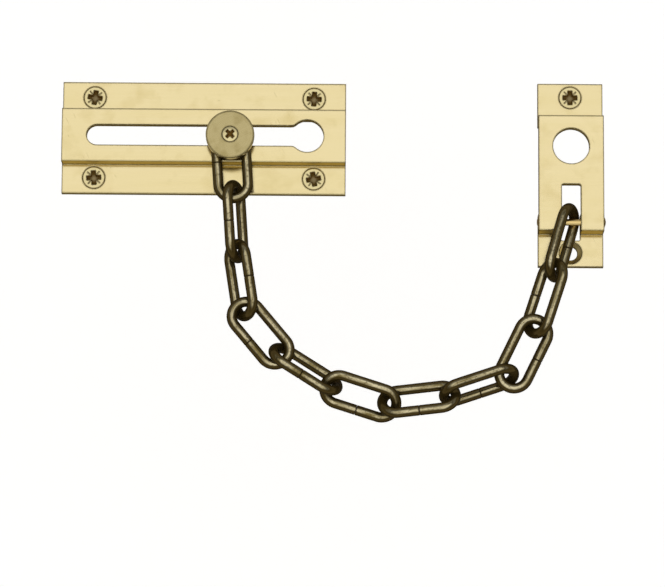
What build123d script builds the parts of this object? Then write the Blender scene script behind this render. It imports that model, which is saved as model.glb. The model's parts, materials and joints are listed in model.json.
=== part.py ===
from build123d import *
import os
from math import asin, degrees

# Door chain, laid out flat: a slide plate with its captive stud, eleven wire links and a fixing plate.
# Millimetres. The origin is the middle of the slide plate's back, X runs along its slot, Z out of the door.

# Slide plate, a brass section like a hat
plate_length = 102.0
plate_width = 41.0
flange_thickness = 2.5
rail_width = 19.5
rail_height = 7.5
rail_wall = 3.0
rail_side = 3.0
edge_round = 0.4
dome_half_way = 0.75

# Slot of the slide plate and the keyhole at its end
slot_width = 7.4
slot_start = -38.3
keyhole_x = 37.1
keyhole_diameter = 11.8
keyhole_blend = 2.5

# Wood screws and their holes
screw_rows_x = 79.0
screw_rows_y = 29.5
screw_hole_diameter = 4.9
countersink_diameter = 8.3
screw_head_diameter = 7.9
screw_head_rim = 0.2
screw_shank_diameter = 4.2
screw_neck_swell = 0.12
screw_neck_runout = 0.3
screw_core_diameter = 3.0
screw_plain_length = 8.5
screw_length = 22.0
screw_point = 5.0
recess_span = 5.2
recess_arm = 1.7
recess_depth = 1.9
recess_taper = 8.0
recess_tick_span = 6.0
recess_tick_width = 0.3
recess_tick_depth = 0.25
screw_turns = (4.0, -8.0, 10.0, -3.0)

# Stud with its disc and small screw
stud_x = 9.6
stud_y = -1.2
stud_back_diameter = 10.8
stud_back_thickness = 2.6
stud_back_play = 0.4
stud_shank_diameter = 4.0
stud_chamfer = 0.4
disc_diameter = 17.4
disc_thickness = 3.2
disc_round = 0.6
stud_screw_head_diameter = 5.9
stud_screw_dome = 0.35
stud_screw_diameter = 2.4
stud_screw_length = 8.0
stud_recess_span = 3.6
stud_recess_arm = 1.1
stud_recess_depth = 1.4
stud_screw_turn = 45.0

# Links of bent round wire with a butt seam in one leg
wire_diameter = 3.7
link_length = 30.0
link_width = 14.3
seam_gap = 0.08
seam_chamfer = 0.15
link_play = 0.35
link_hang = 0.1

# How each link lies, from the stud on: its heading in the plane of the plates, its tilt about its own
# length and its rise out of that plane, in degrees, how deep the next one hooks in, and the seam's leg
headings = (-86, -86, -81, -50, -32, -17, 6, 19, 64, 72, 74)
tilts = (0, -65, 55, -2, -56, 25, -34, 65, 9, -48, 63)
rises = (0, -6, 1, 0, -1, -4, 6, -2, 6, 8)
hook_depths = (4.8, 5.1, 5.1, 5.5, 4.4, 5.0, 4.2, 5.3, 5.1, 4.9)
seam_legs = (-1, -1, 1, -1, -1, -1, -1, -1, -1, 1, -1)

# Fixing plate with its slot for the last link, parking hole and cross pin
fixing_length = 67.2
fixing_width = 23.4
fixing_height = 9.2
block_length = 42.2
block_offset = -0.5
fixing_screw_inset = 5.1
parking_hole_diameter = 13.0
parking_hole_inset = 11.3
link_slot_width = 6.8
link_slot_inset = 25.3
link_slot_overrun = 2.4
link_slot_round = 0.6
pin_diameter = 2.4
pin_inset = 3.3
pin_height = 7.2
pin_head_diameter = 4.2
pin_head_height = 0.65
pin_fit = 0.04
pin_seat = 1.7
pin_side_shift = 1.2
pin_back_shift = -1.3

# Worked out from the sizes above
channel_width = rail_width - 2 * rail_side
channel_depth = rail_height - rail_wall
stud_back_top = channel_depth - stud_back_play
fixing_screw_spacing = fixing_length - 2 * fixing_screw_inset
link_level = rail_height + link_play + wire_diameter / 2
stud_shoulder = link_level + wire_diameter / 2 + link_play
disc_front = stud_shoulder + disc_thickness
bend_radius = (link_width - wire_diameter) / 2
leg_half = (link_length - link_width) / 2
apex_half = leg_half + bend_radius
link_count = len(headings)

os.makedirs("parts", exist_ok=True)


def write(part, name):
    part.label = name
    export_step(part, f"parts/{name}.step")


def tell(name, spot):
    print(f"{name} at {spot.X:.3f}, {spot.Y:.3f}, {spot.Z:.3f}")


def cross_recess(top, span, arm):
    """The outline of a driver's cross on the plane top."""
    with BuildSketch(top) as cross:
        Rectangle(span, arm)
        Rectangle(arm, span)
    return cross.sketch


def wood_screw():
    """A countersunk screw, its head flush with the plane z = 0 and its point down."""
    head_radius = screw_head_diameter / 2
    shank_radius = screw_shank_diameter / 2
    core_radius = screw_core_diameter / 2
    neck_radius = shank_radius + screw_neck_swell
    cone_end = screw_head_rim + head_radius - neck_radius
    with BuildPart() as screw:
        with BuildSketch(Plane.XZ):
            with BuildLine():
                Polyline(
                    (0, 0),
                    (head_radius, 0),
                    (head_radius, -screw_head_rim),
                    (neck_radius, -cone_end),
                    (shank_radius, -flange_thickness - screw_neck_runout),
                    (shank_radius, -screw_plain_length),
                    (core_radius, -screw_plain_length - shank_radius + core_radius),
                    (core_radius, -screw_length + screw_point),
                    (0, -screw_length),
                    close=True,
                )
            make_face()
        revolve(axis=Axis.Z)
        cross = cross_recess(Plane.XY, recess_span, recess_arm)
        extrude(cross, amount=-recess_depth, taper=recess_taper, mode=Mode.SUBTRACT)
        with BuildSketch(Plane.XY):
            for slant in (45, 135):
                Rectangle(recess_tick_span, recess_tick_width, rotation=slant)
        extrude(amount=-recess_tick_depth, mode=Mode.SUBTRACT)
    return screw.part


# Slide plate
with BuildPart() as slide_plate:
    with BuildSketch(Plane.YZ):
        Rectangle(plate_width, flange_thickness, align=(Align.CENTER, Align.MIN))
        Rectangle(rail_width, rail_height, align=(Align.CENTER, Align.MIN))
        Rectangle(channel_width, channel_depth, align=(Align.CENTER, Align.MIN), mode=Mode.SUBTRACT)
    extrude(amount=plate_length / 2, both=True)
    rims = slide_plate.edges().filter_by(Axis.X).group_by(Axis.Z)
    fillet(rims[-1], edge_round)
    flange_rims = slide_plate.edges().filter_by(Axis.X).filter_by_position(
        Axis.Z, flange_thickness, flange_thickness
    )
    fillet(flange_rims.group_by(Axis.Y)[0] + flange_rims.group_by(Axis.Y)[-1], edge_round)
    with BuildSketch(Plane.XY.offset(rail_height)) as slot:
        with Locations(((slot_start + keyhole_x) / 2, 0)):
            SlotCenterToCenter(keyhole_x - slot_start, slot_width)
        with Locations((keyhole_x, 0)):
            Circle(keyhole_diameter / 2)
        necks = slot.vertices().filter_by(lambda v: keyhole_x - keyhole_diameter / 2 < v.X < keyhole_x)
        fillet(necks, keyhole_blend)
    extrude(amount=-rail_wall, mode=Mode.SUBTRACT)
    with Locations((0, 0, flange_thickness)):
        with GridLocations(screw_rows_x, screw_rows_y, 2, 2):
            CounterSinkHole(screw_hole_diameter / 2, countersink_diameter / 2, counter_sink_angle=90)
write(slide_plate.part, "slide_plate")

# Its four screws, each turned as it was left
plate_screw = wood_screw()
with BuildPart() as slide_plate_screws:
    with Locations((0, 0, flange_thickness)):
        with GridLocations(screw_rows_x, screw_rows_y, 2, 2) as corners:
            screw_places = corners.locations
    for place, turn in zip(screw_places, screw_turns):
        add(plate_screw.moved(place * Rotation(0, 0, turn)))
write(slide_plate_screws.part, "slide_plate_screws")

# Stud: a turned pin whose back flange runs in the channel behind the slot
stud_axis = Axis((stud_x, stud_y, 0), (0, 0, 1))
stud_section = Plane(origin=(stud_x, stud_y, 0), x_dir=(1, 0, 0), z_dir=(0, -1, 0))
with BuildPart() as stud:
    with BuildSketch(stud_section):
        with Locations((0, stud_back_top)):
            Rectangle(stud_back_diameter / 2, stud_back_thickness, align=(Align.MIN, Align.MAX))
            Rectangle(stud_shank_diameter / 2, stud_shoulder - stud_back_top, align=(Align.MIN, Align.MIN))
    revolve(axis=stud_axis)
    chamfer(stud.edges().filter_by(GeomType.CIRCLE).group_by(Axis.Z)[0], stud_chamfer)
    with Locations((stud_x, stud_y, stud_shoulder)):
        Hole(stud_screw_diameter / 2, depth=stud_screw_length - disc_thickness + stud_screw_diameter / 2)
write(stud.part, "stud")

# Disc that keeps the first link on the stud
stud_screw_cone = (stud_screw_head_diameter - stud_screw_diameter) / 2
with BuildPart() as stud_disc:
    with BuildSketch(stud_section):
        with Locations((0, stud_shoulder)):
            Rectangle(disc_diameter / 2, disc_thickness, align=(Align.MIN, Align.MIN))
    revolve(axis=stud_axis)
    fillet(stud_disc.edges().filter_by(GeomType.CIRCLE), disc_round)
    with Locations((stud_x, stud_y, disc_front)):
        CounterSinkHole(stud_screw_diameter / 2, stud_screw_head_diameter / 2, counter_sink_angle=90)
write(stud_disc.part, "stud_disc")

# Small screw with a raised head that holds the disc
with BuildPart() as stud_screw:
    with BuildSketch(stud_section):
        with BuildLine():
            crown = (0, disc_front + stud_screw_dome)
            rim = (stud_screw_head_diameter / 2, disc_front)
            ThreePointArc(crown, (rim[0] / 2, disc_front + dome_half_way * stud_screw_dome), rim)
            Polyline(
                rim,
                (stud_screw_diameter / 2, disc_front - stud_screw_cone),
                (stud_screw_diameter / 2, disc_front - stud_screw_length),
                (0, disc_front - stud_screw_length),
                crown,
            )
        make_face()
    revolve(axis=stud_axis)
    recess_top = Plane(origin=(stud_x, stud_y, crown[1]), z_dir=(0, 0, 1)).rotated((0, 0, stud_screw_turn))
    cross = cross_recess(recess_top, stud_recess_span, stud_recess_arm)
    extrude(cross, amount=-stud_recess_depth, taper=recess_taper, mode=Mode.SUBTRACT)
write(stud_screw.part, "stud_screw")


def directions(heading, tilt, rise):
    """The way along a link and the way across it to its left leg."""
    along = Vector(1, 0, 0).rotate(Axis.Y, -rise).rotate(Axis.Z, heading)
    left = Vector(0, 1, 0).rotate(Axis.Z, heading)
    return along, left.rotate(Axis((0, 0, 0), along), tilt)


def chain_link(lay, seam_leg):
    """One link of round wire in the XY plane of lay, bent so that its ends meet in the middle of a leg."""
    leg = seam_leg * bend_radius
    with BuildPart() as link:
        with BuildLine(lay) as bent:
            Line((seam_gap / 2, leg), (leg_half, leg))
            ThreePointArc((leg_half, leg), (apex_half, 0), (leg_half, -leg))
            Line((leg_half, -leg), (-leg_half, -leg))
            ThreePointArc((-leg_half, -leg), (-apex_half, 0), (-leg_half, leg))
            Line((-leg_half, leg), (-seam_gap / 2, leg))
        with BuildSketch(Plane(bent.line ^ 0)):
            Circle(wire_diameter / 2)
        sweep()
        chamfer(link.faces().filter_by(GeomType.PLANE).edges(), seam_chamfer)
    return link.part


# Links, each hooked into the one before on the line of the flatter of the two
stud_side = (stud_shank_diameter + wire_diameter) / 2 + link_hang
seat = Vector(stud_x, stud_y, link_level)
along, across = directions(headings[0], tilts[0], rises[0])
middle = seat + along * (apex_half - stud_side)
reach = 2 * apex_half - pin_seat - (pin_diameter + wire_diameter) / 2
for k in range(link_count):
    name = f"link_{k + 1:02d}"
    lay = Plane(origin=middle, x_dir=along, z_dir=along.cross(across))
    write(chain_link(lay, seam_legs[k]), name)
    tell(name, seat)
    if k == link_count - 1:
        break
    far_end = middle + along * apex_half
    near_end = far_end - along * hook_depths[k]
    if k == link_count - 2:
        # the last link dips so that its pin is level with the hole for it
        rise = degrees(asin((pin_height - pin_back_shift - near_end.Z) / reach))
    else:
        rise = rises[k + 1]
    next_along, next_across = directions(headings[k + 1], tilts[k + 1], rise)
    if abs(tilts[k + 1]) < abs(tilts[k]):
        near_end = far_end - next_along * hook_depths[k]
    seat = (far_end + near_end) * 0.5
    along, across = next_along, next_across
    middle = near_end + along * apex_half

# Fixing plate, a brass section with a raised block, hollow behind, between two flanges
pin_middle = middle + along * (reach - apex_half) + Vector(pin_side_shift, 0, pin_back_shift)
pin_from_middle = block_length / 2 - pin_inset - block_offset
fixing_middle = pin_middle + Vector(0, pin_from_middle, -pin_height)
fixing_section = Plane(origin=fixing_middle, x_dir=(0, 1, 0), z_dir=(1, 0, 0))
fixing_face = Plane(origin=fixing_middle + Vector(0, 0, fixing_height), z_dir=(0, 0, 1))
fixing_flange = Plane(origin=fixing_middle + Vector(0, 0, flange_thickness), z_dir=(0, 0, 1))
block_top = block_offset + block_length / 2
block_bottom = block_offset - block_length / 2
hollow_top = block_top - rail_side
hollow_bottom = block_bottom + 2 * pin_inset
slot_top = block_top - link_slot_inset
slot_bottom = block_bottom - link_slot_overrun
with BuildPart() as fixing_plate:
    with BuildSketch(fixing_section):
        Rectangle(fixing_length, flange_thickness, align=(Align.CENTER, Align.MIN))
        with Locations((block_offset, 0)):
            Rectangle(block_length, fixing_height, align=(Align.CENTER, Align.MIN))
        with Locations((hollow_bottom, 0)):
            Rectangle(
                hollow_top - hollow_bottom,
                fixing_height - rail_wall,
                align=(Align.MIN, Align.MIN),
                mode=Mode.SUBTRACT,
            )
    extrude(amount=fixing_width / 2, both=True)
    fillet(fixing_plate.edges().filter_by(Axis.X).group_by(Axis.Z)[-1], edge_round)
    with BuildSketch(fixing_face):
        with Locations((0, block_top - parking_hole_inset)):
            Circle(parking_hole_diameter / 2)
        with Locations((0, (slot_top + slot_bottom) / 2)):
            RectangleRounded(link_slot_width, slot_top - slot_bottom, link_slot_round)
    extrude(amount=-fixing_height, mode=Mode.SUBTRACT)
    with Locations(fixing_flange):
        with GridLocations(0, fixing_screw_spacing, 1, 2):
            CounterSinkHole(screw_hole_diameter / 2, countersink_diameter / 2, counter_sink_angle=90)
    with BuildSketch(Plane(origin=pin_middle, x_dir=(0, 1, 0), z_dir=(1, 0, 0))):
        Circle((pin_diameter + pin_fit) / 2)
    extrude(amount=fixing_width, both=True, mode=Mode.SUBTRACT)
write(fixing_plate.part, "fixing_plate")

# Cross pin, riveted over at both ends
pin_half = fixing_width / 2
pin_profile = Plane(origin=pin_middle, x_dir=(1, 0, 0), z_dir=(0, 0, 1))
with BuildPart() as link_pin:
    with BuildSketch(pin_profile):
        with BuildLine():
            rivets = []
            for end in (-1, 1):
                rivets.append(
                    ThreePointArc(
                        (end * (pin_half + pin_head_height), 0),
                        (end * (pin_half + dome_half_way * pin_head_height), pin_head_diameter / 4),
                        (end * pin_half, pin_head_diameter / 2),
                    )
                )
            Polyline(
                rivets[0] @ 1,
                (-pin_half, pin_diameter / 2),
                (pin_half, pin_diameter / 2),
                rivets[1] @ 1,
            )
            Line(rivets[0] @ 0, rivets[1] @ 0)
        make_face()
    revolve(axis=Axis(pin_middle, (1, 0, 0)))
write(link_pin.part, "link_pin")

# The one screw of the fixing plate, in its upper hole
top_hole = fixing_middle + Vector(0, fixing_screw_spacing / 2, flange_thickness)
with BuildPart() as fixing_plate_screw:
    add(wood_screw().moved(Location(top_hole)))
write(fixing_plate_screw.part, "fixing_plate_screw")
tell("link_pin", pin_middle)
tell("fixing_plate", fixing_middle)
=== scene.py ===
import json
import math

import bmesh
import bpy
from mathutils import Matrix, Vector

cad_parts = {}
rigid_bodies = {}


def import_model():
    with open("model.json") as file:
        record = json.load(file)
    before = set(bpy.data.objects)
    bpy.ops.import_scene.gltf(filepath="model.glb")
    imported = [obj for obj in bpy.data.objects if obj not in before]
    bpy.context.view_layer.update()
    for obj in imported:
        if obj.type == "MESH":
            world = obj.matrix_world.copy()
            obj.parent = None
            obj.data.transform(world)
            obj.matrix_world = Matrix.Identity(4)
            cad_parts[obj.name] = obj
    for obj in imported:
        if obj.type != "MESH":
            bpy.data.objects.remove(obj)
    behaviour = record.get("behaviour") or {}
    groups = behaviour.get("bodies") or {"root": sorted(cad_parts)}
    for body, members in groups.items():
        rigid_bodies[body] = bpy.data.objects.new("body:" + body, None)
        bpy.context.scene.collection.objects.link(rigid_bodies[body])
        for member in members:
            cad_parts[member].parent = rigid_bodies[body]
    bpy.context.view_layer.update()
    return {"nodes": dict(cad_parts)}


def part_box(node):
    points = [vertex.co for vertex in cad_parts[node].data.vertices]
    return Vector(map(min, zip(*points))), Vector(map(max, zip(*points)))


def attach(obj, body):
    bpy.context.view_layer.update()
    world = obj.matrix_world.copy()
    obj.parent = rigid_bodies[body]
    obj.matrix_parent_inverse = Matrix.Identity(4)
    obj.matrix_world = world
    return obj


# The factory scene's own cube, lamp and camera go before the frame comes in.
for leftover in list(bpy.data.objects):
    bpy.data.objects.remove(leftover)

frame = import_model()
NODES = frame["nodes"]
MM = 0.001

# The photograph: its width in pixels, and the camera that took it.
PHOTO_WIDTH = 665
SENSOR_WIDTH = 36.0
CAMERA_DISTANCE = 1400 * MM
CAMERA_REACH = 50
CAMERA_LEAN = math.radians(10.5)
CAMERA_ROLL = math.radians(0.4)
MM_PER_PIXEL = 0.358
LOOKED_AT = Vector((46.59, -56.06, 0)) * MM

# The studio.
FLOOR_DEPTH = 260 * MM
FLOOR_SIDE = 12.0
FLOOR_COLOUR = "F7F6F3"
FLOOR_GLOW = 0.46
CARD_RADIUS = 230 * MM
CARD_HEIGHT = 250 * MM
CARD_LIFT = 5 * MM
CARD_SIDES = 48
CARD_COLOUR = "8E877A"

# The sky: its brightness by the sine of the height, 0 at the horizon and 1 straight overhead. Then the way to
# a second soft light, the cosines from that way at which its patch starts and is full, and its strength.
SKY_STOPS = ((0.0, 0.82), (0.32, 0.68), (0.55, 0.36), (0.76, 0.2), (0.94, 1.03))
FRONT_LIGHT = (0, -0.64, 0.77)
FRONT_PATCH = (0.92, 0.985)
FRONT_LEVEL = 0.6

# Rounded edges, and a painted dark line of shade along each: how alike the rounded and the plain normal are
# on an edge and off it, and the widths in mm.
EDGE_ALIKE = (0.94, 0.997)
EDGE_SAMPLES = 6
PLATE_EDGE = 0.8
SCREW_EDGE = 0.55
STUD_EDGE = 0.8
WIRE_EDGE = 0.5

# Cosines between which a plate's surface turns from cut side to buffed front, and a wire's from dark sides
# to its painted highlight along the top.
PLATE_FRONT = (0.8, 0.95)
WIRE_LIT_TOP = (0.87, 0.985)

# The wood screws, as the solids have them, and the thread that is wound on them here.
SCREW_HEAD_RADIUS = 3.95 * MM
SCREW_CORE_RADIUS = 1.5 * MM
THREAD_RADIUS = 2.1 * MM
THREAD_PITCH = 1.8 * MM
THREAD_LENGTH = 12.6 * MM
THREAD_POINT = 4.6 * MM
THREAD_STEPS = 28
# The ridge: how far along the point's taper it starts, how deep its foot sits as a share of the core, how
# much faster than the core it swells, and half its width at the foot and the crest, in pitches.
THREAD_START = 0.3 * MM
THREAD_ROOT = 0.9
THREAD_SWELL = 1.6
THREAD_FOOT = 0.28
THREAD_CREST = 0.05
# The cross recess: its depth, and the old polish in its bottom, how thick it is, how far its arms reach at
# the bottom and the top, and half an arm's width.
RECESS_DEPTH = 1.9 * MM
RECESS_FILL = 0.2 * MM
RECESS_REACH = (2.15 * MM, 2.37 * MM)
RECESS_ARM = 0.62 * MM
# How far down a recess its walls are fully brown and matt and where they start to turn so, and how far
# from the middle the dried polish turns from pale to dark, as shares of the cross's width.
RECESS_BROWN_DEPTHS = (0.7 * MM, 0.02 * MM)
POLISH_PALE = (0.07, 0.31)
# How far each cross is turned, in degrees.
SCREW_TURNS = (4.0, -8.0, 10.0, -3.0)
FIXING_SCREW_TURN = 0.0
# The rim of the stud's own screw lies this far below the top of its head.
STUD_SCREW_DOME = 0.35 * MM

# The links' draw lines: the side that they are counted from, and how close together they lie.
DRAW_SIDE = (0.45, -0.35, 0.82)
DRAW_LINES = 9.0


def linear(code):
    """An sRGB hex colour as linear red, green, blue and alpha."""
    channels = [int(code[i:i + 2], 16) / 255 for i in (0, 2, 4)]
    return [c / 12.92 if c <= 0.04045 else ((c + 0.055) / 1.055) ** 2.4 for c in channels] + [1.0]


def add(tree, kind, sockets=None, **settings):
    """Adds a node with its settings. A socket is given by name or number, and takes a link or a value. A Mix
    node has its two ends at 2 and 3 for numbers, 4 and 5 for vectors, and 6 and 7 for colours."""
    new = tree.nodes.new(kind)
    for name, value in settings.items():
        setattr(new, name, value)
    for key, value in (sockets or {}).items():
        if isinstance(value, bpy.types.NodeSocket):
            tree.links.new(value, new.inputs[key])
        else:
            new.inputs[key].default_value = value
    return new


def new_material(name):
    """An empty material, its node tree and its output node."""
    material = bpy.data.materials.new(name)
    material.use_nodes = True
    material.node_tree.nodes.clear()
    output = add(material.node_tree, "ShaderNodeOutputMaterial")
    return material, material.node_tree, output


def per_mm(size):
    """The texture scale at which one feature is that many millimetres across."""
    return 1 / (size * MM)


def middle(node):
    """The middle of a CAD node's box."""
    low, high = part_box(node)
    return (Vector(low) + Vector(high)) / 2


def facing_up(tree, low, high):
    """How far a surface faces the front of the part as it lies, from 0 below the low cosine to 1 above
    the high one."""
    normal = add(tree, "ShaderNodeSeparateXYZ", {0: add(tree, "ShaderNodeTexCoord").outputs["Normal"]})
    return add(tree, "ShaderNodeMapRange", {
        "Value": normal.outputs["Z"], "From Min": low, "From Max": high}).outputs[0]


def edge_line(tree, width):
    """The rounded normal within that many millimetres of an edge, and a mask that is 1 on the edge."""
    rounded = add(tree, "ShaderNodeBevel", {"Radius": width * MM}, samples=EDGE_SAMPLES).outputs[0]
    plain = add(tree, "ShaderNodeNewGeometry").outputs["Normal"]
    alike = add(tree, "ShaderNodeVectorMath", {0: rounded, 1: plain}, operation="DOT_PRODUCT")
    mask = add(tree, "ShaderNodeMapRange", {
        "Value": alike.outputs["Value"], "From Min": EDGE_ALIKE[0], "From Max": EDGE_ALIKE[1],
        "To Min": 1.0, "To Max": 0.0})
    return rounded, mask.outputs[0]


def polished_brass():
    """Extruded brass, its front faces buffed along their length: a pale yellow mirror with faint polish
    lines, a thin cloud of tarnish, brown specks and fine scratches. Sides and hole walls stay dull and
    rougher, with painted shade tinting their glancing reflection, and a painted dark line of shade runs along
    every edge."""
    material, tree, output = new_material("plate_brass_buffed")
    place = add(tree, "ShaderNodeTexCoord").outputs["Object"]
    front = facing_up(tree, *PLATE_FRONT)
    rounded, edge = edge_line(tree, PLATE_EDGE)
    # Buffing lines are finer than a pixel, so they are drawn about half a millimetre wide to show.
    along = add(tree, "ShaderNodeMapping", {
        "Vector": place, "Scale": (per_mm(45), per_mm(0.5), per_mm(0.5))})
    lines = add(tree, "ShaderNodeTexNoise", {"Vector": along.outputs[0], "Scale": 1.0, "Detail": 3.0})
    wide = add(tree, "ShaderNodeMapping", {
        "Vector": place, "Scale": (per_mm(60), per_mm(5), per_mm(5))})
    streaks = add(tree, "ShaderNodeTexNoise", {"Vector": wide.outputs[0], "Scale": 1.0, "Detail": 4.0})
    cloud = add(tree, "ShaderNodeTexNoise", {"Vector": place, "Scale": per_mm(9), "Detail": 6.0})
    tarnish = add(tree, "ShaderNodeMapRange", {
        "Value": cloud.outputs["Fac"], "From Min": 0.5, "From Max": 0.8, "To Min": 0.0, "To Max": 0.6})
    cells = add(tree, "ShaderNodeTexVoronoi", {"Vector": place, "Scale": per_mm(4.2), "Randomness": 1.0})
    small = add(tree, "ShaderNodeMapRange", {
        "Value": cells.outputs["Distance"], "From Min": 0.02, "From Max": 0.055,
        "To Min": 1.0, "To Max": 0.0})
    where = add(tree, "ShaderNodeMapRange", {
        "Value": cloud.outputs["Fac"], "From Min": 0.52, "From Max": 0.6, "To Min": 0.0, "To Max": 0.75})
    specks = add(tree, "ShaderNodeMath", {0: small.outputs[0], 1: where.outputs[0]}, operation="MULTIPLY")
    slant = add(tree, "ShaderNodeMapping", {
        "Vector": place, "Rotation": (0, 0, math.radians(-62)), "Scale": (5 * MM, 0.4 * MM, 60 * MM)},
        vector_type="TEXTURE")
    dashes = add(tree, "ShaderNodeTexNoise", {"Vector": slant.outputs[0], "Scale": 1.0, "Detail": 0.0})
    scratches = add(tree, "ShaderNodeMapRange", {
        "Value": dashes.outputs["Fac"], "From Min": 0.8, "From Max": 0.87, "To Min": 0.0, "To Max": 0.45})
    clean = add(tree, "ShaderNodeMix", {
        "Factor": lines.outputs["Fac"], 6: linear("E6D5A2"), 7: linear("F4E4B8")}, data_type="RGBA")
    streaked = add(tree, "ShaderNodeMix", {
        "Factor": streaks.outputs["Fac"], 6: clean.outputs[2], 7: linear("E4D29A")}, data_type="RGBA")
    dulled = add(tree, "ShaderNodeMix", {
        "Factor": tarnish.outputs[0], 6: streaked.outputs[2], 7: linear("D2BD80")}, data_type="RGBA")
    specked = add(tree, "ShaderNodeMix", {
        "Factor": specks.outputs[0], 6: dulled.outputs[2], 7: linear("6E5A2A")}, data_type="RGBA")
    scored = add(tree, "ShaderNodeMix", {
        "Factor": scratches.outputs[0], 6: specked.outputs[2], 7: linear("A8935A")}, data_type="RGBA")
    sided = add(tree, "ShaderNodeMix", {
        "Factor": front, 6: linear("E4D090"), 7: scored.outputs[2]}, data_type="RGBA")
    # The cut faces are rougher, and painted shade tints their glancing reflection dark, on the sides and hole
    # walls that are seen edge-on.
    side_shade_tint = add(tree, "ShaderNodeMix", {
        "Factor": front, 6: linear("8A7C56"), 7: linear("FFFFFF")}, data_type="RGBA")
    # Painted shade: a dark line painted along every edge of the plate.
    edge_shaded = add(tree, "ShaderNodeMix", {
        "Factor": edge, 6: sided.outputs[2], 7: linear("3E3216")}, data_type="RGBA")
    gloss = add(tree, "ShaderNodeMapRange", {
        "Value": lines.outputs["Fac"], "From Min": 0.3, "From Max": 0.7, "To Min": 0.11, "To Max": 0.18})
    rough = add(tree, "ShaderNodeMix", {"Factor": front, 2: 0.42, 3: gloss.outputs[0]})
    bump = add(tree, "ShaderNodeBump", {
        "Height": lines.outputs["Fac"], "Strength": 0.02, "Distance": 0.05 * MM, "Normal": rounded})
    surface = add(tree, "ShaderNodeBsdfPrincipled", {
        "Base Color": edge_shaded.outputs[2], "Metallic": 1.0, "Roughness": rough.outputs[0],
        "Specular Tint": side_shade_tint.outputs[2], "Normal": bump.outputs[0]})
    tree.links.new(surface.outputs[0], output.inputs["Surface"])
    return material


def screw_brass(name, face, rim_drop):
    """Turned brass screws: pale heads with a fine lathe finish, a painted dark line of shade round the rim,
    and brown, matt recess walls below the head's face, fully so further down."""
    material, tree, output = new_material(name)
    place = add(tree, "ShaderNodeTexCoord").outputs["Object"]
    height = add(tree, "ShaderNodeSeparateXYZ", {0: place}).outputs["Z"]
    rounded, edge = edge_line(tree, SCREW_EDGE)
    rim = face - rim_drop
    grain = add(tree, "ShaderNodeTexNoise", {"Vector": place, "Scale": per_mm(0.9), "Detail": 4.0})
    # The recess walls turn brown and matt from just below the rim, fully so further down.
    under = add(tree, "ShaderNodeMapRange", {
        "Value": height, "From Min": rim - RECESS_BROWN_DEPTHS[0], "From Max": rim - RECESS_BROWN_DEPTHS[1],
        "To Min": 1.0, "To Max": 0.0})
    inside = add(tree, "ShaderNodeMath", {0: height, 1: rim - RECESS_DEPTH}, operation="GREATER_THAN")
    recess_brown = add(tree, "ShaderNodeMath", {0: under.outputs[0], 1: inside.outputs[0]}, operation="MULTIPLY")
    metal = add(tree, "ShaderNodeMix", {
        "Factor": grain.outputs["Fac"], 6: linear("D6C690"), 7: linear("EADBA8")}, data_type="RGBA")
    # Painted shade: a dark line painted along the head's edges and round its rim.
    edge_shaded = add(tree, "ShaderNodeMix", {
        "Factor": edge, 6: metal.outputs[2], 7: linear("4A3A14")}, data_type="RGBA")
    recess_colour = add(tree, "ShaderNodeMix", {
        "Factor": grain.outputs["Fac"], 6: linear("6A4C1C"), 7: linear("A07C3C")}, data_type="RGBA")
    recess_browned = add(tree, "ShaderNodeMix", {
        "Factor": recess_brown.outputs[0], 6: edge_shaded.outputs[2], 7: recess_colour.outputs[2]}, data_type="RGBA")
    gloss = add(tree, "ShaderNodeMapRange", {"Value": grain.outputs["Fac"], "To Min": 0.14, "To Max": 0.32})
    rough = add(tree, "ShaderNodeMix", {"Factor": recess_brown.outputs[0], 2: gloss.outputs[0], 3: 0.9})
    bare = add(tree, "ShaderNodeMath", {0: 1.0, 1: recess_brown.outputs[0]}, operation="SUBTRACT")
    plain = add(tree, "ShaderNodeNewGeometry").outputs["Normal"]
    normal = add(tree, "ShaderNodeMix", {
        "Factor": recess_brown.outputs[0], 4: rounded, 5: plain}, data_type="VECTOR")
    surface = add(tree, "ShaderNodeBsdfPrincipled", {
        "Base Color": recess_browned.outputs[2], "Metallic": bare.outputs[0], "Roughness": rough.outputs[0],
        "Specular IOR Level": bare.outputs[0], "Normal": normal.outputs[1]})
    tree.links.new(surface.outputs[0], output.inputs["Surface"])
    return material


def old_polish():
    """Metal polish dried in the bottom of the recesses and gone brown: matt, dark towards the ends of the
    arms and paler in the middle."""
    material, tree, output = new_material("polish_paste_dried")
    spot = add(tree, "ShaderNodeTexCoord")
    from_middle = add(tree, "ShaderNodeVectorMath", {
        0: spot.outputs["Generated"], 1: (0.5, 0.5, 0.5)}, operation="SUBTRACT")
    flat = add(tree, "ShaderNodeVectorMath", {0: from_middle.outputs[0], 1: (1, 1, 0)}, operation="MULTIPLY")
    reach = add(tree, "ShaderNodeVectorMath", {0: flat.outputs[0]}, operation="LENGTH")
    grain = add(tree, "ShaderNodeTexNoise", {
        "Vector": spot.outputs["Object"], "Scale": per_mm(0.9), "Detail": 4.0})
    outward = add(tree, "ShaderNodeMapRange", {
        "Value": reach.outputs["Value"], "From Min": POLISH_PALE[0], "From Max": POLISH_PALE[1]})
    paler_tone = add(tree, "ShaderNodeMix", {
        "Factor": grain.outputs["Fac"], 6: linear("A8946A"), 7: linear("CCBA8C")}, data_type="RGBA")
    paste = add(tree, "ShaderNodeMix", {
        "Factor": outward.outputs[0], 6: paler_tone.outputs[2], 7: linear("7C6230")}, data_type="RGBA")
    surface = add(tree, "ShaderNodeBsdfPrincipled", {
        "Base Color": paste.outputs[2], "Roughness": 0.9, "Specular IOR Level": 0.0})
    tree.links.new(surface.outputs[0], output.inputs["Surface"])
    return material


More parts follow.
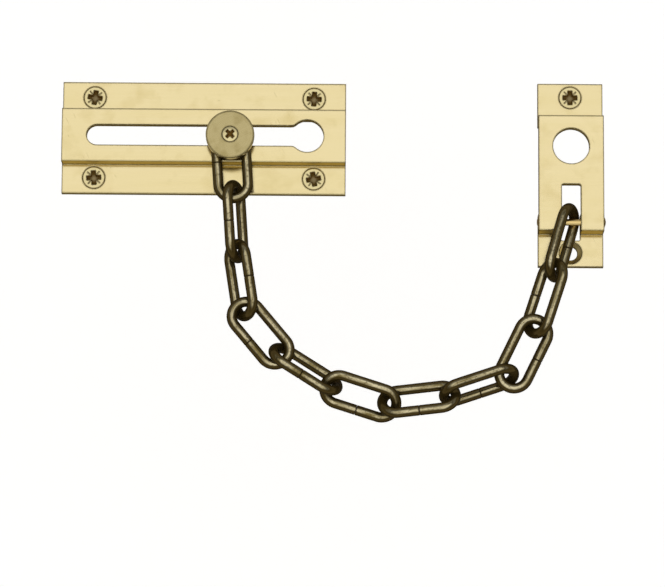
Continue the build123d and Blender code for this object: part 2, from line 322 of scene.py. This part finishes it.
def turned_brass(centre):
    """Lathe-turned brass left satin and gone olive: faint rings about the stud's own axis, a fine rubbing
    across them, and smudges where fingers push it."""
    material, tree, output = new_material("stud_brass_turned")
    place = add(tree, "ShaderNodeTexCoord").outputs["Object"]
    rounded, edge = edge_line(tree, STUD_EDGE)
    from_axis = add(tree, "ShaderNodeVectorMath", {0: place, 1: centre}, operation="SUBTRACT")
    flat = add(tree, "ShaderNodeVectorMath", {0: from_axis.outputs[0], 1: (1, 1, 0)}, operation="MULTIPLY")
    radius = add(tree, "ShaderNodeVectorMath", {0: flat.outputs[0]}, operation="LENGTH")
    # Turning marks and rubbing are drawn coarser than they are, so that they show.
    rings = add(tree, "ShaderNodeTexNoise", {
        "W": radius.outputs["Value"], "Scale": per_mm(0.5), "Detail": 2.0}, noise_dimensions="1D")
    across = add(tree, "ShaderNodeMapping", {
        "Vector": place, "Rotation": (0, 0, math.radians(28)), "Scale": (9 * MM, 0.45 * MM, 9 * MM)},
        vector_type="TEXTURE")
    rubbing = add(tree, "ShaderNodeTexNoise", {"Vector": across.outputs[0], "Scale": 1.0, "Detail": 3.0})
    marks = add(tree, "ShaderNodeMix", {"Factor": 0.6, 2: rings.outputs["Fac"], 3: rubbing.outputs["Fac"]})
    cloud = add(tree, "ShaderNodeTexNoise", {"Vector": place, "Scale": per_mm(3.5), "Detail": 5.0})
    metal = add(tree, "ShaderNodeMix", {
        "Factor": marks.outputs[0], 6: linear("AC9C6A"), 7: linear("CABB8A")}, data_type="RGBA")
    patina = add(tree, "ShaderNodeMapRange", {
        "Value": cloud.outputs["Fac"], "From Min": 0.45, "From Max": 0.8, "To Min": 0.0, "To Max": 0.7})
    aged = add(tree, "ShaderNodeMix", {
        "Factor": patina.outputs[0], 6: metal.outputs[2], 7: linear("94834E")}, data_type="RGBA")
    # Painted shade: a dark line painted along the edges of the stud and its disc.
    edge_shaded = add(tree, "ShaderNodeMix", {
        "Factor": edge, 6: aged.outputs[2], 7: linear("4A3D1A")}, data_type="RGBA")
    rough = add(tree, "ShaderNodeMapRange", {"Value": marks.outputs[0], "To Min": 0.2, "To Max": 0.36})
    bump = add(tree, "ShaderNodeBump", {
        "Height": marks.outputs[0], "Strength": 0.1, "Distance": 0.05 * MM, "Normal": rounded})
    surface = add(tree, "ShaderNodeBsdfPrincipled", {
        "Base Color": edge_shaded.outputs[2], "Metallic": 1.0, "Roughness": rough.outputs[0],
        "Normal": bump.outputs[0]})
    tree.links.new(surface.outputs[0], output.inputs["Surface"])
    return material


def bronzed_brass():
    """Drawn brass wire, bronzed dark brown to black, with olive gold painted along the top of the wire as a
    painted highlight, a painted dark line of shade at its seam, a grainy skin of small pits and the patina
    thinner and paler in patches."""
    material, tree, output = new_material("wire_brass_bronzed")
    place = add(tree, "ShaderNodeTexCoord").outputs["Object"]
    cloud = add(tree, "ShaderNodeTexNoise", {"Vector": place, "Scale": per_mm(4), "Detail": 5.0})
    fine = add(tree, "ShaderNodeTexNoise", {"Vector": place, "Scale": per_mm(0.8), "Detail": 3.0})
    waves = add(tree, "ShaderNodeTexNoise", {"Vector": place, "Scale": per_mm(2.2), "Detail": 2.0})
    # A spot of the wire faces the same way all along a leg, so lines that follow that run along the wire.
    facing = add(tree, "ShaderNodeVectorMath", {
        0: add(tree, "ShaderNodeTexCoord").outputs["Normal"], 1: DRAW_SIDE}, operation="DOT_PRODUCT")
    turns = add(tree, "ShaderNodeMath", {0: facing.outputs["Value"], 1: DRAW_LINES}, operation="MULTIPLY")
    slow = add(tree, "ShaderNodeMapping", {"Vector": place, "Scale": (per_mm(8), per_mm(8), per_mm(8))})
    drawn = add(tree, "ShaderNodeTexNoise", {
        "Vector": slow.outputs[0], "W": turns.outputs[0], "Scale": 1.0, "Detail": 3.0},
        noise_dimensions="4D")
    rounded, edge = edge_line(tree, WIRE_EDGE)
    # Painted highlight: the top of the wire, as it lies, is painted olive gold where the overhead light
    # falls, and its sides are left dark.
    lit_top = facing_up(tree, *WIRE_LIT_TOP)
    uneven = add(tree, "ShaderNodeMix", {"Factor": 0.3, 2: drawn.outputs["Fac"], 3: cloud.outputs["Fac"]})
    paler_tone = add(tree, "ShaderNodeMapRange", {
        "Value": uneven.outputs[0], "From Min": 0.38, "From Max": 0.6})
    bright = add(tree, "ShaderNodeMix", {
        "Factor": paler_tone.outputs[0], 6: linear("7C6E44"), 7: linear("D2C6A0")}, data_type="RGBA")
    metal = add(tree, "ShaderNodeMix", {
        "Factor": lit_top, 6: linear("4E401F"), 7: bright.outputs[2]}, data_type="RGBA")
    pits = add(tree, "ShaderNodeMapRange", {
        "Value": fine.outputs["Fac"], "From Min": 0.36, "From Max": 0.46, "To Min": 0.55, "To Max": 0.0})
    pitted = add(tree, "ShaderNodeMix", {
        "Factor": pits.outputs[0], 6: metal.outputs[2], 7: linear("4A3A1A")}, data_type="RGBA")
    # Painted shade: a dark line painted along the edges of the wire's seam.
    seam_shade = add(tree, "ShaderNodeMix", {
        "Factor": edge, 6: pitted.outputs[2], 7: linear("3A2C12")}, data_type="RGBA")
    film = add(tree, "ShaderNodeMapRange", {"Value": lit_top, "To Min": 0.55, "To Max": 1.0})
    rough = add(tree, "ShaderNodeMapRange", {"Value": fine.outputs["Fac"], "To Min": 0.06, "To Max": 0.22})
    bump = add(tree, "ShaderNodeBump", {
        "Height": waves.outputs["Fac"], "Strength": 0.5, "Distance": 0.1 * MM, "Normal": rounded})
    surface = add(tree, "ShaderNodeBsdfPrincipled", {
        "Base Color": seam_shade.outputs[2], "Metallic": film.outputs[0], "Roughness": rough.outputs[0],
        "Specular Tint": linear("2A2008"), "Normal": bump.outputs[0]})
    tree.links.new(surface.outputs[0], output.inputs["Surface"])
    return material


def drawn_brass():
    """Drawn brass rod, riveted over at its ends: warm and bright, with draw lines along it."""
    material, tree, output = new_material("pin_brass_drawn")
    place = add(tree, "ShaderNodeTexCoord").outputs["Object"]
    along = add(tree, "ShaderNodeMapping", {
        "Vector": place, "Scale": (per_mm(12), per_mm(0.4), per_mm(0.4))})
    lines = add(tree, "ShaderNodeTexNoise", {"Vector": along.outputs[0], "Scale": 1.0, "Detail": 2.0})
    metal = add(tree, "ShaderNodeMix", {
        "Factor": lines.outputs["Fac"], 6: linear("CDAA62"), 7: linear("F2DA9C")}, data_type="RGBA")
    rough = add(tree, "ShaderNodeMapRange", {"Value": lines.outputs["Fac"], "To Min": 0.1, "To Max": 0.3})
    surface = add(tree, "ShaderNodeBsdfPrincipled", {
        "Base Color": metal.outputs[2], "Metallic": 1.0, "Roughness": rough.outputs[0]})
    tree.links.new(surface.outputs[0], output.inputs["Surface"])
    return material


def dress(material, *names):
    """Gives the named CAD nodes one material."""
    for name in names:
        mesh = NODES[name].data
        mesh.materials.clear()
        mesh.materials.append(material)


def add_piece(name, shape, material, body):
    """Makes a finished bmesh into a piece, which rides on a body."""
    bmesh.ops.recalc_face_normals(shape, faces=shape.faces)
    mesh = bpy.data.meshes.new(name)
    shape.to_mesh(mesh)
    shape.free()
    mesh.materials.append(material)
    piece = bpy.data.objects.new(name, mesh)
    bpy.context.scene.collection.objects.link(piece)
    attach(piece, body)


def wood_thread(name, axis_x, axis_y, tip_z, material, body):
    """The coarse thread of one wood screw: a ridge wound up the core from the point."""
    shape = bmesh.new()
    steps = round(THREAD_LENGTH / THREAD_PITCH * THREAD_STEPS)
    rows = []
    for step in range(steps + 1):
        rise = THREAD_LENGTH * step / steps
        turn = 2 * math.pi * step / THREAD_STEPS
        # The core tapers to the point, and the ridge runs out at the top.
        taper = min(1.0, (rise + THREAD_START) / THREAD_POINT)
        fade = min(1.0, (steps - step) / THREAD_STEPS)
        root = SCREW_CORE_RADIUS * taper * THREAD_ROOT
        full_ridge = THREAD_RADIUS - SCREW_CORE_RADIUS * THREAD_ROOT
        crest = root + full_ridge * min(taper * THREAD_SWELL, 1.0) * fade
        section = (
            (root, -THREAD_FOOT), (crest, -THREAD_CREST), (crest, THREAD_CREST), (root, THREAD_FOOT))
        row = []
        for reach, lift in section:
            height = tip_z + rise + lift * THREAD_PITCH
            row.append(shape.verts.new((
                axis_x + reach * math.cos(turn), axis_y + reach * math.sin(turn), height)))
        rows.append(row)
    for lower, upper in zip(rows, rows[1:]):
        for side in range(len(lower)):
            ahead = (side + 1) % len(lower)
            shape.faces.new((lower[side], lower[ahead], upper[ahead], upper[side]))
    shape.faces.new(rows[0][::-1])
    shape.faces.new(rows[-1])
    add_piece(name, shape, material, body)


def caked_polish(name, axis_x, axis_y, face_z, turned, material, body):
    """Old polish dried in the bottom of one screw's cross recess: a low cross, wider at its top. It covers
    the narrow slits where the ends of the solid's recess come out through the cone under the head."""
    shape = bmesh.new()
    rings = []
    for depth, reach in zip((RECESS_DEPTH, RECESS_DEPTH - RECESS_FILL), RECESS_REACH):
        corner = [(reach, -RECESS_ARM), (reach, RECESS_ARM), (RECESS_ARM, RECESS_ARM)]
        ring = []
        for quarter in range(4):
            turn = Matrix.Rotation(math.radians(90 * quarter + turned), 2)
            for spot in corner:
                x, y = turn @ Vector(spot)
                ring.append(shape.verts.new((axis_x + x, axis_y + y, face_z - depth)))
        rings.append(ring)
    low, high = rings
    for k in range(len(low)):
        ahead = (k + 1) % len(low)
        shape.faces.new((low[k], low[ahead], high[ahead], high[k]))
    shape.faces.new(low[::-1])
    shape.faces.new(high)
    add_piece(name, shape, material, body)


def studio():
    """A pale floor well below the part, and a world that is brightest overhead, dim half-way up and lighter
    again towards the horizon. Flat brass shines pale in it, and round wire shows a bright line between dark
    sides."""
    bpy.ops.mesh.primitive_plane_add(size=FLOOR_SIDE, location=(LOOKED_AT.x, LOOKED_AT.y, -FLOOR_DEPTH))
    floor = bpy.context.object
    floor.name = "floor"
    material, tree, output = new_material("floor_paper_white")
    ray = add(tree, "ShaderNodeLightPath")
    mirror = add(tree, "ShaderNodeMath", {
        0: ray.outputs["Is Glossy Ray"], 1: ray.outputs["Is Transmission Ray"]}, operation="MAXIMUM")
    seen = add(tree, "ShaderNodeMath", {
        0: ray.outputs["Is Camera Ray"], 1: mirror.outputs[0]}, operation="MAXIMUM")
    glow = add(tree, "ShaderNodeMath", {0: seen.outputs[0], 1: FLOOR_GLOW}, operation="MULTIPLY")
    paper = add(tree, "ShaderNodeBsdfDiffuse", {"Color": linear(FLOOR_COLOUR)})
    white = add(tree, "ShaderNodeEmission", {"Color": linear("FFFFFF"), "Strength": glow.outputs[0]})
    both = add(tree, "ShaderNodeAddShader", {0: paper.outputs[0], 1: white.outputs[0]})
    tree.links.new(both.outputs[0], output.inputs["Surface"])
    floor.data.materials.append(material)

    # Grey cards stand round and under the part, out of the picture, and give round metal its dark sides.
    cards = bmesh.new()
    bmesh.ops.create_cone(
        cards, segments=CARD_SIDES, radius1=CARD_RADIUS, radius2=CARD_RADIUS, depth=CARD_HEIGHT)
    bottom = Matrix.Translation((0, 0, CARD_LIFT - CARD_HEIGHT / 2))
    bmesh.ops.create_circle(cards, cap_ends=True, segments=CARD_SIDES, radius=CARD_RADIUS, matrix=bottom)
    ring = bpy.data.meshes.new("dark_cards")
    cards.to_mesh(ring)
    cards.free()
    card = bpy.data.objects.new("dark_cards", ring)
    card.location = (LOOKED_AT.x, LOOKED_AT.y, CARD_HEIGHT / 2 - FLOOR_DEPTH)
    bpy.context.scene.collection.objects.link(card)
    material, tree, output = new_material("card_matt_grey")
    felt = add(tree, "ShaderNodeBsdfDiffuse", {"Color": linear(CARD_COLOUR)})
    tree.links.new(felt.outputs[0], output.inputs["Surface"])
    ring.materials.append(material)
    card.visible_camera = False
    card.visible_shadow = False
    card.visible_diffuse = False

    world = bpy.data.worlds.new("soft_studio")
    bpy.context.scene.world = world
    world.use_nodes = True
    tree = world.node_tree
    tree.nodes.clear()
    direction = add(tree, "ShaderNodeTexCoord").outputs["Generated"]
    height = add(tree, "ShaderNodeSeparateXYZ", {0: direction}).outputs["Z"]
    ramp = add(tree, "ShaderNodeValToRGB", {"Fac": height})
    ramp.color_ramp.interpolation = "EASE"
    points = ramp.color_ramp.elements
    while len(points) < len(SKY_STOPS):
        points.new(0.5)
    for point, (place, level) in zip(points, SKY_STOPS):
        point.position = place
        point.color = (level, level, level, 1)
    # A second soft light stands in front, half-way up, and draws a second line on the wire.
    toward = add(tree, "ShaderNodeVectorMath", {0: direction, 1: FRONT_LIGHT}, operation="DOT_PRODUCT")
    patch = add(tree, "ShaderNodeMapRange", {
        "Value": toward.outputs["Value"], "From Min": FRONT_PATCH[0], "From Max": FRONT_PATCH[1],
        "To Min": 0.0, "To Max": FRONT_LEVEL})
    level = add(tree, "ShaderNodeMath", {0: ramp.outputs["Color"], 1: patch.outputs[0]}, operation="ADD")
    sky = add(tree, "ShaderNodeBackground", {"Color": level.outputs[0], "Strength": 1.0})
    add(tree, "ShaderNodeOutputWorld", {"Surface": sky.outputs[0]})


def photo_camera():
    """The camera that took the photograph: almost straight above, leaning back, turned a touch."""
    away = Vector((0, -math.sin(CAMERA_LEAN), math.cos(CAMERA_LEAN)))
    up = Vector((0, math.cos(CAMERA_LEAN), math.sin(CAMERA_LEAN)))
    right = Vector((1, 0, 0))
    turned_right = right * math.cos(CAMERA_ROLL) + up * math.sin(CAMERA_ROLL)
    turned_up = up * math.cos(CAMERA_ROLL) - right * math.sin(CAMERA_ROLL)
    data = bpy.data.cameras.new("photo_camera")
    data.sensor_fit = "HORIZONTAL"
    data.sensor_width = SENSOR_WIDTH
    data.lens = SENSOR_WIDTH * CAMERA_DISTANCE / (PHOTO_WIDTH * MM_PER_PIXEL * MM)
    data.clip_end = CAMERA_REACH
    camera = bpy.data.objects.new("photo_camera", data)
    bpy.context.scene.collection.objects.link(camera)
    axes = Matrix((turned_right, turned_up, away)).transposed().to_4x4()
    camera.matrix_world = Matrix.Translation(LOOKED_AT + away * CAMERA_DISTANCE) @ axes
    bpy.context.scene.camera = camera


brass = polished_brass()
polish = old_polish()
screws = screw_brass("wood_screw_brass_turned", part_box("slide_plate_screws")[1][2], 0.0)
small_screw = screw_brass("stud_screw_brass_turned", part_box("stud_screw")[1][2], STUD_SCREW_DOME)
stud_brass = turned_brass(middle("stud_disc"))
wire_brass = bronzed_brass()
dress(brass, "slide_plate", "fixing_plate")
dress(drawn_brass(), "link_pin")
dress(screws, "slide_plate_screws", "fixing_plate_screw")
dress(small_screw, "stud_screw")
dress(stud_brass, "stud", "stud_disc")
dress(wire_brass, *[name for name in NODES if name.startswith("link_") and name != "link_pin"])

plate_low, plate_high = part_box("slide_plate_screws")
corners = [
    (x, y)
    for x in (plate_low[0] + SCREW_HEAD_RADIUS, plate_high[0] - SCREW_HEAD_RADIUS)
    for y in (plate_low[1] + SCREW_HEAD_RADIUS, plate_high[1] - SCREW_HEAD_RADIUS)
]
for number, ((x, y), turned_by) in enumerate(zip(corners, SCREW_TURNS), start=1):
    wood_thread(f"slide_plate_thread_{number}", x, y, plate_low[2], screws, "slide_plate")
    caked_polish(f"slide_plate_polish_{number}", x, y, plate_high[2], turned_by, polish, "slide_plate")
fixing = middle("fixing_plate_screw")
fixing_low, fixing_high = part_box("fixing_plate_screw")
wood_thread("fixing_plate_thread", fixing.x, fixing.y, fixing_low[2], screws, "fixing_plate")
caked_polish(
    "fixing_plate_polish", fixing.x, fixing.y, fixing_high[2], FIXING_SCREW_TURN, polish, "fixing_plate")

studio()
photo_camera()
bpy.context.scene.view_settings.view_transform = "Standard"
